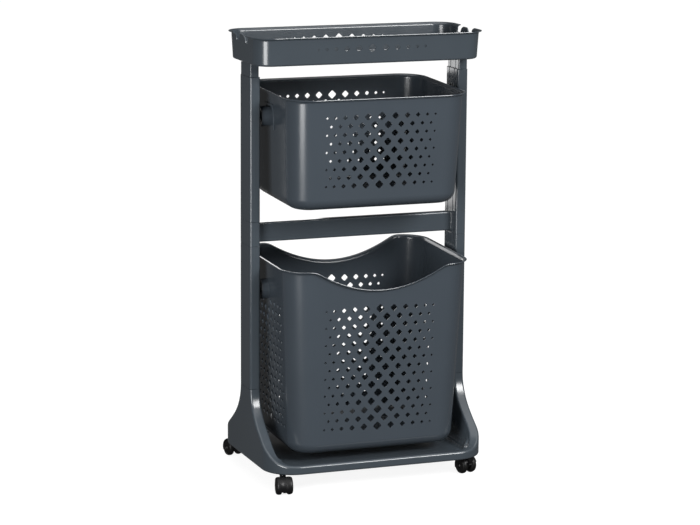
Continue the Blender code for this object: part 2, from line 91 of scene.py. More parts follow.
def plastic(name, color, roughness, grain=0.06, flow=0.018, shine=0.5):
    """Moulded plastic: spark-eroded grain, faint flow marks and soft colour drift."""
    mat = bpy.data.materials.new(name)
    mat.use_nodes = True
    tree = mat.node_tree
    nodes, links = tree.nodes, tree.links
    bsdf = nodes["Principled BSDF"]
    bsdf.inputs["Metallic"].default_value = 0.0
    bsdf.inputs["IOR"].default_value = 1.50
    bsdf.inputs["Specular IOR Level"].default_value = shine
    coord = nodes.new("ShaderNodeTexCoord")

    def noise(scale, detail, stretch=None):
        tex = nodes.new("ShaderNodeTexNoise")
        tex.inputs["Scale"].default_value = scale
        tex.inputs["Detail"].default_value = detail
        source = coord.outputs["Object"]
        if stretch:
            mapping = nodes.new("ShaderNodeMapping")
            mapping.inputs["Scale"].default_value = stretch
            links.new(source, mapping.inputs["Vector"])
            source = mapping.outputs["Vector"]
        links.new(source, tex.inputs["Vector"])
        return tex.outputs["Fac"]

    def remap(value, low, high):
        node = nodes.new("ShaderNodeMapRange")
        node.inputs["From Min"].default_value = 0.3
        node.inputs["From Max"].default_value = 0.7
        node.inputs["To Min"].default_value = low
        node.inputs["To Max"].default_value = high
        links.new(value, node.inputs["Value"])
        return node.outputs["Result"]

    drift = noise(9.0, 2.0)
    marks = noise(26.0, 3.0, (1.0, 1.0, 0.22))
    fine = noise(1500.0, 2.0)
    mix = nodes.new("ShaderNodeMix")
    mix.data_type = "RGBA"
    shade = [c * 0.975 for c in color]
    light = [c * 1.025 for c in color]
    mix.inputs["A"].default_value = (shade[0], shade[1], shade[2], 1.0)
    mix.inputs["B"].default_value = (light[0], light[1], light[2], 1.0)
    links.new(remap(drift, 0.0, 1.0), mix.inputs["Factor"])
    links.new(mix.outputs["Result"], bsdf.inputs["Base Color"])
    add = nodes.new("ShaderNodeMath")
    add.operation = "ADD"
    links.new(remap(marks, roughness - flow, roughness + flow), add.inputs[0])
    links.new(remap(fine, -0.02, 0.02), add.inputs[1])
    links.new(add.outputs["Value"], bsdf.inputs["Roughness"])
    bump = nodes.new("ShaderNodeBump")
    bump.inputs["Strength"].default_value = grain
    bump.inputs["Distance"].default_value = 0.0002
    links.new(fine, bump.inputs["Height"])
    links.new(bump.outputs["Normal"], bsdf.inputs["Normal"])
    return mat


def plated_steel(name):
    """Zinc-plated steel with fine turning marks."""
    mat = bpy.data.materials.new(name)
    mat.use_nodes = True
    nodes, links = mat.node_tree.nodes, mat.node_tree.links
    bsdf = nodes["Principled BSDF"]
    bsdf.inputs["Base Color"].default_value = (0.62, 0.62, 0.60, 1.0)
    bsdf.inputs["Metallic"].default_value = 1.0
    coord = nodes.new("ShaderNodeTexCoord")
    tex = nodes.new("ShaderNodeTexNoise")
    tex.inputs["Scale"].default_value = 420.0
    tex.inputs["Detail"].default_value = 3.0
    links.new(coord.outputs["Object"], tex.inputs["Vector"])
    rough = nodes.new("ShaderNodeMapRange")
    rough.inputs["To Min"].default_value = 0.20
    rough.inputs["To Max"].default_value = 0.42
    links.new(tex.outputs["Fac"], rough.inputs["Value"])
    links.new(rough.outputs["Result"], bsdf.inputs["Roughness"])
    bump = nodes.new("ShaderNodeBump")
    bump.inputs["Strength"].default_value = 0.08
    bump.inputs["Distance"].default_value = 0.0001
    links.new(tex.outputs["Fac"], bump.inputs["Height"])
    links.new(bump.outputs["Normal"], bsdf.inputs["Normal"])
    return mat


MATERIALS = {
    "frame_plastic": plastic("frame_plastic_look", (0.034, 0.042, 0.050), 0.20),
    "basket_plastic": plastic("basket_plastic_look", (0.033, 0.041, 0.050), 0.24),
    "caster_plastic": plastic("caster_plastic_look", (0.0040, 0.0040, 0.0044), 0.40, shine=0.22),
    "wheel_nylon": plastic("wheel_nylon_look", (0.0042, 0.0042, 0.0042), 0.46, shine=0.20),
    "steel": plated_steel("steel_look"),
}
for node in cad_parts.values():
    old = node.data.materials[0].name.split(".")[0] if node.data.materials else "frame_plastic"
    slot = old if old in MATERIALS else "frame_plastic"
    node.data.materials.clear()
    node.data.materials.append(MATERIALS[slot])

# ---------------------------------------------------------------- mesh tools


def raw_object(name, bm):
    bmesh.ops.recalc_face_normals(bm, faces=bm.faces[:])
    mesh = bpy.data.meshes.new(name)
    bm.to_mesh(mesh)
    bm.free()
    obj = bpy.data.objects.new(name, mesh)
    bpy.context.scene.collection.objects.link(obj)
    return obj


def piece(obj, slot_name, body, nodes, sharp=32.0):
    """Finish a mesh as a visible piece that stands for CAD nodes."""
    mesh = obj.data
    mesh.materials.clear()
    mesh.materials.append(MATERIALS[slot_name])
    mesh.polygons.foreach_set("material_index", [0] * len(mesh.polygons))
    mesh.polygons.foreach_set("use_smooth", [True] * len(mesh.polygons))
    mesh.set_sharp_from_angle(angle=math.radians(sharp))
    weighted = obj.modifiers.new("normals", "WEIGHTED_NORMAL")
    weighted.keep_sharp = True
    weighted.weight = 80
    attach(obj, body)
    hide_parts(*nodes)
    return obj


def skin(bm, rings, closed=False):
    pairs = list(zip(rings[:-1], rings[1:]))
    if closed:
        pairs.append((rings[-1], rings[0]))
    for low, high in pairs:
        n = len(low)
        for i in range(n):
            j = (i + 1) % n
            bm.faces.new((low[i], low[j], high[j], high[i]))


def capped(bm, rings):
    skin(bm, rings)
    bm.faces.new(rings[0][::-1])
    bm.faces.new(rings[-1])


def plan_slots(nx, ny, nc):
    """Places round a rounded rectangle: corner arcs, with nx or ny steps along its sides."""
    arcs = []
    for sx, sy, start in ((1, -1, -90.0), (1, 1, 0.0), (-1, 1, 90.0), (-1, -1, 180.0)):
        arcs.append([(sx, sy, math.radians(start + 90.0 * k / nc)) for k in range(nc + 1)])
    slots = []
    for index, arc in enumerate(arcs):
        slots += [(a, a, 0.0) for a in arc]
        count = ny if index in (0, 2) else nx
        after = arcs[(index + 1) % 4][0]
        slots += [(arc[-1], after, k / count) for k in range(1, count)]
    return slots


def plan_point(slot, hx, hy, r):
    out = []
    for sx, sy, a in slot[:2]:
        out.append((sx * (hx - r) + r * math.cos(a), sy * (hy - r) + r * math.sin(a)))
    t = slot[2]
    return (out[0][0] * (1 - t) + out[1][0] * t, out[0][1] * (1 - t) + out[1][1] * t)


def lathe(name, profile, segments, axis="Z", center=(0.0, 0.0, 0.0), turn=None):
    """Turn a closed (radius, height) outline about an axis."""
    bm = bmesh.new()
    poles = {}
    grid = []
    for k in range(segments):
        a = 2.0 * math.pi * k / segments
        verts = []
        for i, (r, h) in enumerate(profile):
            x, y = r * math.cos(a), r * math.sin(a)
            p = (x, y, h) if axis == "Z" else (h, x, y)
            if r == 0.0:
                if i not in poles:
                    poles[i] = bm.verts.new(p)
                verts.append(poles[i])
            else:
                verts.append(bm.verts.new(p))
        grid.append(verts)
    n = len(profile)
    for k in range(segments):
        a, b = grid[k], grid[(k + 1) % segments]
        for i in range(n):
            j = (i + 1) % n
            face = []
            for v in (a[i], b[i], b[j], a[j]):
                if v not in face:
                    face.append(v)
            if len(face) > 2:
                bm.faces.new(face)
    if turn is not None:
        bmesh.ops.transform(bm, matrix=turn, verts=bm.verts)
    bmesh.ops.translate(bm, vec=center, verts=bm.verts)
    return raw_object(name, bm)


def soften(points, radius, steps=4):
    """Round the corners of a closed outline; radius may be one value or one per corner."""
    out = []
    n = len(points)
    for i, p in enumerate(points):
        r = radius[i] if isinstance(radius, (list, tuple)) else radius
        here = Vector(p)
        before = (Vector(points[i - 1]) - here)
        after = (Vector(points[(i + 1) % n]) - here)
        r = min(r, before.length * 0.49, after.length * 0.49)
        if r <= 1e-6:
            out.append((here.x, here.y))
            continue
        a = here + before.normalized() * r
        b = here + after.normalized() * r
        for k in range(steps + 1):
            t = k / steps
            q = a * (1 - t) ** 2 + here * 2 * t * (1 - t) + b * t * t
            out.append((q.x, q.y))
    return out


def prism(name, outline, low, high, axis="X", edge=0.0):
    """Extrude a closed outline along an axis, with an optional small edge break."""
    bm = bmesh.new()

    def place(p, h):
        if axis == "X":
            return (h, p[0], p[1])
        if axis == "Y":
            return (p[0], h, p[1])
        return (p[0], p[1], h)

    levels = [(low, 0.0), (high, 0.0)]
    if edge > 0.0:
        levels = [(low, edge), (low + edge, 0.0), (high - edge, 0.0), (high, edge)]
    rings = []
    for h, inset in levels:
        pts = inset_outline(outline, inset) if inset else outline
        rings.append([bm.verts.new(place(p, h)) for p in pts])
    capped(bm, rings)
    return raw_object(name, bm)


def inset_outline(points, amount):
    """Move an outline inwards along its corner normals."""
    area = 0.0
    n = len(points)
    for i in range(n):
        a, b = points[i], points[(i + 1) % n]
        area += a[0] * b[1] - b[0] * a[1]
    sign = 1.0 if area > 0 else -1.0
    out = []
    for i in range(n):
        a, p, b = Vector(points[i - 1]), Vector(points[i]), Vector(points[(i + 1) % n])
        d1, d2 = (p - a), (b - p)
        if d1.length < 1e-9 or d2.length < 1e-9:
            out.append((p.x, p.y))
            continue
        d1.normalize()
        d2.normalize()
        n1, n2 = Vector((-d1.y, d1.x)) * sign, Vector((-d2.y, d2.x)) * sign
        m = n1 + n2
        m = m / max(m.length_squared / 2.0, 0.3)
        out.append((p.x + m.x * amount, p.y + m.y * amount))
    return out


def join(objs):
    bm = bmesh.new()
    for obj in objs:
        bm.from_mesh(obj.data)
        bpy.data.objects.remove(obj, do_unlink=True)
    return raw_object("tools", bm)


def combine(target, tools, operation):
    """Apply one Boolean with a set of separate solids, then drop them."""
    tool = tools[0] if len(tools) == 1 else join(tools)
    mod = target.modifiers.new("combine", "BOOLEAN")
    mod.operation = operation
    mod.solver = "EXACT"
    mod.object = tool
    bpy.context.view_layer.update()
    deps = bpy.context.evaluated_depsgraph_get()
    mesh = bpy.data.meshes.new_from_object(target.evaluated_get(deps))
    target.modifiers.remove(mod)
    target.data = mesh
    bpy.data.objects.remove(tool, do_unlink=True)
    return target


def smooth_curve(points, steps):
    """Catmull-Rom curve through 2-D points."""
    pts = [Vector(p) for p in points]
    pts = [pts[0] * 2 - pts[1]] + pts + [pts[-1] * 2 - pts[-2]]
    out = []
    for i in range(1, len(pts) - 2):
        a, b, c, d = pts[i - 1:i + 3]
        for k in range(steps):
            t = k / steps
            q = 0.5 * ((2 * b) + (c - a) * t + (2 * a - 5 * b + 4 * c - d) * t * t
                       + (3 * b - a - 3 * c + d) * t ** 3)
            out.append((q.x, q.y))
    out.append((pts[-2].x, pts[-2].y))
    return out


# ---------------------------------------------------------------- base
# Upper edge of the side panel: post socket, concave flare, then the front lip.
FLARE = (
    (0.0328, 0.1934), (0.0345, 0.1790), (0.0397, 0.1640), (0.0470, 0.1510),
    (0.0565, 0.1385), (0.0690, 0.1262), (0.0830, 0.1150), (0.0980, 0.1040),
    (0.1130, 0.0940), (0.1290, 0.0835), (0.1390, 0.0755), (0.1480, 0.0690),
    (0.1570, 0.0635), (0.1660, 0.0598), (0.1750, 0.0580),
)


def edge_stations():
    """Stations of the upper edge for one quarter: point, outward normal, width, floor point."""
    curve = smooth_curve(FLARE, 5)

    def height(y):
        for (y0, z0), (y1, z1) in zip(curve[:-1], curve[1:]):
            if y0 <= y <= y1:
                return z0 + (z1 - z0) * (y - y0) / max(y1 - y0, 1e-9)
        return curve[-1][1]

    corner_y = BASE_HY - BASE_R
    wide = POST_OUT - POST_IN
    out = []
    for y, z in curve:
        if y < corner_y - 0.001:
            f = (y - POST_HY) / (corner_y - POST_HY)
            fy = (POST_HY - POST_R) + f * (FLOOR_HY - FLOOR_R - POST_HY + POST_R)
            out.append((Vector((POST_OUT, y, z)), Vector((1.0, 0.0, 0.0)), wide, (FLOOR_HX, fy)))
    steps = 16
    for k in range(steps + 1):
        a = math.radians(90.0 * k / steps)
        y = corner_y + BASE_R * math.sin(a)
        x = POST_OUT - BASE_R + BASE_R * math.cos(a)
        t = k / steps
        blend = t * t * (3 - 2 * t)
        width = wide + (FRONT_LIP - wide) * blend
        floor = (FLOOR_HX - FLOOR_R + FLOOR_R * math.cos(a), FLOOR_HY - FLOOR_R + FLOOR_R * math.sin(a))
        out.append((Vector((x, y, height(y))), Vector((math.cos(a), math.sin(a), 0.0)), width, floor))
    x_end = POST_OUT - BASE_R
    for k in range(1, 6):
        t = k / 6.0
        x = x_end * (1 - t)
        out.append((Vector((x, BASE_HY, BASE_LIP)), Vector((0.0, 1.0, 0.0)), FRONT_LIP,
                    ((FLOOR_HX - FLOOR_R) * (1 - t), FLOOR_HY)))
    return out


def build_base():
    quarter = edge_stations()
    columns = []
    count = len(quarter)
    for i, (p, n, width, floor) in enumerate(quarter):
        before = quarter[max(i - 1, 0)][0]
        after = quarter[min(i + 1, count - 1)][0] if i + 1 < count else Vector((0.0, p.y, p.z))
        tangent = (after - before).normalized()
        up = n.cross(tangent).normalized()
        if i == 0:
            up = Vector((0.0, 1.0, 0.0))
        if up.z < -1e-6:
            up = -up
        r = POST_R
        rb = 0.0040
        col = []
        flat = Vector((p.x, p.y, 0.0))
        # underside, from the hollow out to the bottom edge
        col.append(flat - n * 0.0062 + Vector((0, 0, BASE_BOTTOM + 0.0075)))
        col.append(flat - n * 0.0060 + Vector((0, 0, BASE_BOTTOM + 0.0006)))
        col.append(flat - n * 0.0054 + Vector((0, 0, BASE_BOTTOM)))
        for k in range(5):
            a = math.radians(90.0 * k / 4)
            lift = rb * (1 - math.cos(a))
            col.append(flat - n * rb * (1 - math.sin(a)) + Vector((0, 0, BASE_BOTTOM + lift)))
        # outer wall, outer fillet, top of the lip, inner fillet
        for k in range(7):
            a = math.radians(90.0 * k / 6)
            col.append(p - n * r - up * r + n * r * math.cos(a) + up * r * math.sin(a))
        for k in range(7):
            a = math.radians(90.0 * (1 - k / 6))
            col.append(p - n * (width - r) - up * r - n * r * math.cos(a) + up * r * math.sin(a))
        top = col[-1].copy()
        floor_at = Vector((floor[0], floor[1], BASE_FLOOR))
        rise = top.z - BASE_FLOOR
        bend = min(0.014, rise)
        share = 0.50 if rise > 0.016 else 0.0
        start = Vector((top.x + (floor_at.x - top.x) * share, top.y + (floor_at.y - top.y) * share,
                        BASE_FLOOR + bend))
        if share:
            for k in (1, 2, 3):
                col.append(top.lerp(start, k / 3.0))
        else:
            for k in (1, 2, 3):
                col.append(top + Vector((0, 0, -0.00002 * k)))
            start = col[-1].copy()
        for k in range(1, 8):
            a = math.radians(90.0 * k / 7)
            across = 1 - math.cos(a)
            col.append(Vector((start.x + (floor_at.x - start.x) * across,
                               start.y + (floor_at.y - start.y) * across,
                               BASE_FLOOR + (start.z - BASE_FLOOR) * (1 - math.sin(a)))))
        columns.append(col)
    # quarter columns run from the post to the middle of the front
    loop = []
    middle = [Vector((0.0, v.y, v.z)) for v in columns[-1]]
    half = columns + [middle]
    for sx, sy, forward in ((1, -1, True), (-1, -1, False), (-1, 1, True), (1, 1, False)):
        run = half if forward else half[:-1][::-1]
        for col in run:
            loop.append([Vector((v.x * sx, v.y * sy, v.z)) for v in col])
    bm = bmesh.new()
    rings = []
    for row in range(len(loop[0])):
        rings.append([bm.verts.new(col[row]) for col in loop])
    capped(bm, rings)
    return raw_object("base_shell", bm)


def post_outline(inset=0.0):
    """Section of a post: rounded corners, and two shallow grooves down its inner face."""
    hx, hy = POST_HX - inset, POST_HY - inset
    pts = []
    for slot in plan_slots(1, 1, 7):
        pts.append(plan_point(slot, hx, hy, POST_R - inset))
    # this is the right post's section, so its inner face is the -X side
    out = []
    for i, p in enumerate(pts):
        out.append(p)
        nxt = pts[(i + 1) % len(pts)]
        if p[0] < -hx + 1e-6 and nxt[0] < -hx + 1e-6 and abs(p[1] - nxt[1]) > 0.02:
            for y in (0.0135, -0.0135):
                for dy, dx in ((0.0016, 0.0), (0.0011, 0.0010), (-0.0011, 0.0010), (-0.0016, 0.0)):
                    out.append((-hx + dx, y + dy))
    return out


def post_solid(name, side, z0, z1, inset=0.0, edge=0.0005):
    outline = post_outline(inset)
    if side < 0:
        outline = [(-x, y) for x, y in outline][::-1]
    outline = [(x + side * POST_CX, y) for x, y in outline]
    return prism(name, outline, z0, z1, axis="Z", edge=edge)


def build_posts():
    for level, z0, z1 in (("lower", SEAM_4 + GAP, SEAM_3), ("upper", SEAM_2, SEAM_1)):
        for side, label in ((-1, "left"), (1, "right")):
            node = level + "_post_" + label
            piece(post_solid(node + "_shell", side, z0, z1), "frame_plastic", "frame", [node])


# ---------------------------------------------------------------- mid rail
RAIL_TOP, RAIL_BOTTOM, RAIL_HY = 0.5450, 0.5035, 0.0090


def build_rail():
    bm = bmesh.new()
    mid = (RAIL_TOP + RAIL_BOTTOM) / 2.0
    hz = (RAIL_TOP - RAIL_BOTTOM) / 2.0
    reach = POST_IN + 0.003
    flare = 0.0050
    stations = [reach] + [POST_IN - flare * k / 6.0 for k in range(7)]
    xs = [-x for x in stations] + stations[::-1]
    rings = []
    for x in xs:
        near = max(0.0, (abs(x) - (POST_IN - flare)) / flare)
        near = min(near, 1.0)
        grow = flare * 0.62 * (1 - math.sqrt(max(0.0, 1 - near * near)))
        ring = []
        for slot in plan_slots(1, 1, 6):
            y, z = plan_point(slot, RAIL_HY + grow, hz + grow * 0.55, 0.0036)
            ring.append(bm.verts.new((x, y, mid + z)))
        rings.append(ring)
    capped(bm, rings)
    bar = raw_object("mid_rail_shell", bm)
    ends = [post_solid("end", side, SEAM_3 + GAP, SEAM_2 - GAP) for side in (-1, 1)]
    combine(bar, ends, "UNION")
    piece(bar, "frame_plastic", "frame", ["mid_rail"])


# ---------------------------------------------------------------- bowls


def lip_profile(lip, wall, depth, steps=6):
    """(drop, inset) stations over a rim that curls outwards: up the outside, down the inside."""
    out = []
    for k in range(steps + 1):
        a = math.radians(90.0 * k / steps)
        out.append((depth - (depth - wall) * math.sin(a), -lip * (1 - math.cos(a))))
    for k in range(1, 4):
        a = math.radians(-90.0 + 180.0 * k / 4)
        out.append((wall / 2 - wall / 2 * math.sin(a), -lip - wall / 2 * math.cos(a)))
    for k in range(steps + 1):
        a = math.radians(90.0 * (1 - k / steps))
        out.append((depth - depth * math.sin(a), wall - (lip + wall) * (1 - math.cos(a))))
    return out


def bowl(name, spec, rim):
    """A thin-walled tub with flat drafted walls and a curled rim."""
    top, bottom, wall = spec["top"], spec["bottom"], spec["wall"]
    slots = plan_slots(spec["nx"], spec["ny"], spec["nc"])
    count = len(slots)

    def at(slot, level, inset):
        x = spec["hx"] - spec["kx"] * (top - level) - inset
        y = spec["hy"] - spec["ky"] * (top - level) - inset
        return plan_point(slot, x, y, max(spec["r"] - inset, 0.004))

    drops = [rim(at(slot, top, 0.0)) for slot in slots]
    bm = bmesh.new()

    def ring(level_of, inset):
        verts = []
        for i in range(count):
            z = level_of(i)
            x, y = at(slots[i], z, inset)
            verts.append(bm.verts.new((x, y, z)))
        return verts

    def body(inset, floor, radius):
        part = []
        for k in range(spec["steps"] + 1):
            a = math.radians(90.0 * k / spec["steps"])
            z = floor + radius * (1.0 - math.cos(a))
            part.append(ring(lambda i, z=z: z, inset + radius * (1.0 - math.sin(a))))
        start = floor + radius
        for t in spec["levels"]:
            part.append(ring(lambda i, t=t: start + (top - drops[i] - spec["depth"] - start) * t, inset))
        return part

    rings = body(0.0, bottom, spec["foot"])
    lips = lip_profile(spec["lip"], wall, spec["depth"])
    for drop, inset in lips[1:-1]:
        rings.append(ring(lambda i, d=drop: top - drops[i] - d, inset))
    rings += body(wall, bottom + wall, spec["foot"] - wall)[::-1]
    capped(bm, rings)
    return raw_object(name, bm)


def diamond(size, round_to=0.16, steps=3):
    h = size / 2.0
    return soften([(h, 0.0), (0.0, h), (-h, 0.0), (0.0, -h)], size * round_to, steps)


def hole_size(offset):
    return 0.0200 - 0.118 * abs(offset)


def hole_rows(columns, rows, top, step, shrink=0.0):
    """Centres and sizes of staggered rows of diamonds."""
    out = []
    for row in range(rows):
        z = top - row * step
        scale = 1.0 - shrink * (top - z)
        if row % 2 == 0:
            offsets = list(columns)
        else:
            offsets = [(a + b) / 2 for a, b in zip(columns[:-1], columns[1:])]
        for offset in offsets:
            for sign in ((1,) if offset == 0.0 else (-1, 1)):
                out.append((sign * offset * scale, z, hole_size(offset)))
    return out


def cutters(holes, reach, axis="Y"):
    tools = []
    for u, v, size in holes:
        outline = [(u + p[0], v + p[1]) for p in diamond(size)]
        tools.append(prism("cut", outline, -reach, reach, axis=axis))
    return join(tools)


def flat_rim(p):
    return 0.0


def dip_rim(p):
    """Drop of the lower basket's rim: a shallow arc in the front and the back."""
    if abs(p[1]) < DIP_BACK:
        return 0.0
    u = abs(p[0]) / DIP_HALF
    if u >= DIP_OUTER:
        return 0.0
    arc = max(1.0 - u * u, 0.0)
    if u > DIP_INNER:
        v = (DIP_OUTER - u) / DIP_BLEND
        arc = END_ARC * v * v
    return DIP_DEPTH * arc


def hanger(side, wall_x, pivot):
    """Boss on a basket's end wall over the peg: a raised rim round a recessed disc."""
    s = float(side)
    inner, outer = wall_x - BOSS_SINK, POST_IN - 0.0055
    profile = (
        (0.0, s * inner), (BOSS_R, s * inner), (BOSS_R, s * (outer - 0.0016)),
        (0.0209, s * (outer - 0.0004)), (0.0199, s * outer), (0.0175, s * outer),
        (0.0165, s * (outer - 0.0006)), (0.0160, s * (outer - 0.0022)), (0.0115, s * (outer - 0.0022)),
        (0.0110, s * (outer - 0.0004)), (0.0104, s * outer), (0.0, s * outer),
    )
    return lathe("boss", profile, 56, axis="X", center=(SLIDE, 0.0, pivot))


def arch(side, wall_x, pivot):
    """Pointed raised outline on an end wall above the boss, with a ledge across it."""
    s = float(side)
    low, high = wall_x - BOSS_SINK, wall_x + 0.0018
    half, foot, peak = 0.0300, -0.0260, 0.0400
    outline = smooth_curve([(-half, foot), (-half, 0.004), (-0.0200, 0.0240), (0.0, peak),
                            (0.0200, 0.0240), (half, 0.004), (half, foot)], 6)
    inner = [(y * 0.82, z * 0.84 - 0.002) for y, z in outline][::-1]
    band = [(y, pivot + z) for y, z in outline + inner]
    a, b = sorted((s * low, s * high))
    rim = prism("arch", band, a, b, axis="X", edge=0.0012)
    a, b = sorted((s * low, s * (high + 0.0030)))
    ledge = soften([(-0.0255, pivot + 0.0235), (0.0255, pivot + 0.0235), (0.0255, pivot + 0.0268),
                    (-0.0255, pivot + 0.0268)], 0.0014, 3)
    shelf = prism("ledge", ledge, a, b, axis="X", edge=0.0008)
    for obj in (rim, shelf):
        obj.data.transform(Matrix.Translation((SLIDE, 0.0, 0.0)))
    return [rim, shelf]


def build_basket(name, spec, rim, rows, side_rows, shift, arched):
    """Perforated basket with its hangers; gives the inner face of its end wall."""
    basket = bowl(name + "_shell", spec, rim)
    combine(basket, [cutters(rows, CUT_REACH, "Y")], "DIFFERENCE")
    if side_rows:
        combine(basket, [cutters(side_rows, CUT_REACH, "X")], "DIFFERENCE")
    pivot = spec["pivot"]
    center = Vector((0.0, 0.0, pivot))
    turn = Matrix.Translation(center) @ Matrix.Rotation(TILT, 4, "X") @ Matrix.Translation(-center)
    basket.data.transform(Matrix.Translation((SLIDE, -shift, 0.0)) @ turn)
    wall_x = spec["hx"] - spec["kx"] * (spec["top"] - pivot)
    combine(basket, [hanger(side, wall_x, pivot) for side in (-1, 1)], "UNION")
    if arched:
        outlines = [arch(side, wall_x, pivot) for side in (-1, 1)]
        combine(basket, [pair[0] for pair in outlines], "UNION")
        combine(basket, [pair[1] for pair in outlines], "UNION")
    holes = []
    for s in (-1.0, 1.0):
        profile = ((0.0, s * 0.18), (PEG_HOLE_R, s * 0.18), (PEG_HOLE_R, s * 0.23), (0.0, s * 0.23))
        holes.append(lathe("hole", profile, 40, axis="X", center=(0.0, 0.0, pivot)))
    combine(basket, holes, "DIFFERENCE")
    piece(basket, "basket_plastic", name + "_body", [name])
    return wall_x - spec["wall"] - SLIDE


# hx, hy: half sizes at the top; kx, ky: draft; r: plan corner radius; lip, depth: curled
# rim; nx, ny, nc: steps along the sides and round a corner
BASKET = {
    "r": 0.050, "foot": 0.024, "wall": 0.0022, "lip": 0.0052, "depth": 0.0080,
    "ny": 1, "nc": 20, "steps": 10, "levels": (0.5, 1.0),
}
UPPER = {
    **BASKET, "top": 0.8215, "bottom": 0.5872, "hx": 0.1945, "hy": 0.1515,
    "kx": 0.035, "ky": 0.062, "pivot": UPPER_PIVOT, "nx": 1,
}
LOWER = {
    **BASKET, "top": 0.4670, "bottom": 0.0712, "hx": 0.2020, "hy": 0.1500,
    "kx": 0.045, "ky": 0.022, "pivot": LOWER_PIVOT, "nx": 60,
}


def side_lattice(top, rows, step, pivot):
    """Diamonds in the end walls, clear of the hanger boss."""
    between = [(a + b) / 2 for a, b in zip(SIDE_COLUMNS[:-1], SIDE_COLUMNS[1:])]
    out = []
    for row in range(rows):
        z = top - row * step
        offsets = SIDE_COLUMNS if row % 2 == 0 else between
        for offset in offsets:
            for sign in ((1,) if offset == 0.0 else (-1, 1)):
                y = sign * offset
                size = 0.0190 - 0.10 * offset
                if math.hypot(y, z - pivot) > 0.0240 + size / 2:
                    out.append((y, z, size))
    return out


# ---------------------------------------------------------------- top tray
TRAY_HX, TRAY_HY, TRAY_BOTTOM, TRAY_TOP = 0.2478, 0.0975, 0.8816, 0.9405
TRAY_DRAFT_X, TRAY_DRAFT_Y = 0.035, 0.085
NOTCH_IN, NOTCH_OUT = 0.2305, 0.2675    # reach of the tools that cut the tray's end walls
NOTCH = (
    (0.0215, 0.9250), (0.0372, 0.9250), (0.0385, 0.9256), (0.0390, 0.9270), (0.0391, 0.9440),
    (0.0004, 0.9440), (0.0010, 0.9403), (0.0060, 0.9399), (0.0110, 0.9383), (0.0155, 0.9355),
    (0.0190, 0.9315), (0.0208, 0.9275),
)


def build_tray():
    height = TRAY_TOP - TRAY_BOTTOM
    spec = {
        "top": TRAY_TOP, "bottom": TRAY_BOTTOM,
        "hx": TRAY_HX + TRAY_DRAFT_X * height, "hy": TRAY_HY + TRAY_DRAFT_Y * height,
        "kx": TRAY_DRAFT_X, "ky": TRAY_DRAFT_Y, "r": 0.038, "foot": 0.0045, "wall": 0.0022, "lip": 0.0050,
        "depth": 0.0065, "nx": 1, "ny": 1, "nc": 18, "steps": 6, "levels": (1.0,),
    }
    tray = bowl("top_tray_shell", spec, flat_rim)
    notches = []
    for side in (-1, 1):
        for front in (-1, 1):
            outline = [(front * y, z) for y, z in NOTCH]
            x0, x1 = side * NOTCH_IN, side * NOTCH_OUT
            notches.append(prism("notch", outline, min(x0, x1), max(x0, x1), axis="X"))
    # the tab between the notches is flat, without the curled rim
    flat = [(-0.0225, 0.9280), (0.0225, 0.9280), (0.0225, 0.9440), (-0.0225, 0.9440)]
    lips = []
    for side in (-1, 1):
        x0, x1 = side * (spec["hx"] + 0.0002), side * NOTCH_OUT
        lips.append(prism("lip", flat, min(x0, x1), max(x0, x1), axis="X"))
    combine(tray, [join(notches)], "DIFFERENCE")
    combine(tray, [join(lips)], "DIFFERENCE")
    holes = hole_rows(TRAY_COLUMNS, 1, TRAY_ROW, 0.0)
    combine(tray, [cutters(holes, CUT_REACH, "Y")], "DIFFERENCE")
    necks = [post_solid("neck", side, SEAM_1 + GAP, TRAY_BOTTOM + 0.0018, inset=0.00175, edge=0.0004)
             for side in (-1, 1)]
    for side, neck in zip((-1, 1), necks):
        neck.data.transform(Matrix.Translation((side * 0.00075, 0.0, 0.0)))
    combine(tray, necks, "UNION")
    piece(tray, "frame_plastic", "frame", ["top_tray"])


# ---------------------------------------------------------------- pegs


def build_peg(node, side, pivot, wall_inner):
    s = float(side)
    out = POST_IN - GAP
    profile = (
        (0.0, s * (POST_IN + 0.0060)), (PEG_SHANK_R, s * (POST_IN + 0.0060)),
        (PEG_SHANK_R, s * out), (PEG_FLANGE_R, s * out), (PEG_FLANGE_R, s * (out - 0.0011)),
        (0.0106, s * (out - 0.0015)),
        (PEG_R, s * (out - 0.0015)), (PEG_R, s * (wall_inner - 0.0016)),
        (0.0085, s * (wall_inner - 0.0016)),
        (0.0085, s * (wall_inner - 0.0027)), (0.0080, s * (wall_inner - 0.0036)),
        (0.0068, s * (wall_inner - 0.0042)), (0.0050, s * (wall_inner - 0.0044)),
        (0.0, s * (wall_inner - 0.0044)),
    )
    piece(lathe(node + "_shell", profile, 40, axis="X", center=(0.0, 0.0, pivot)),
          "frame_plastic", "frame", [node])


# ---------------------------------------------------------------- casters


def sweep_cover(name, section, start, end, steps):
    """Sweep a closed (x, radius) section round the wheel axis."""
    bm = bmesh.new()
    rings = []
    for k in range(steps + 1):
        a = math.radians(start + (end - start) * k / steps)
        rings.append([bm.verts.new((x, -TRAIL + r * math.cos(a), WHEEL_R + r * math.sin(a)))
                      for x, r in section])
    capped(bm, rings)
    return raw_object(name, bm)


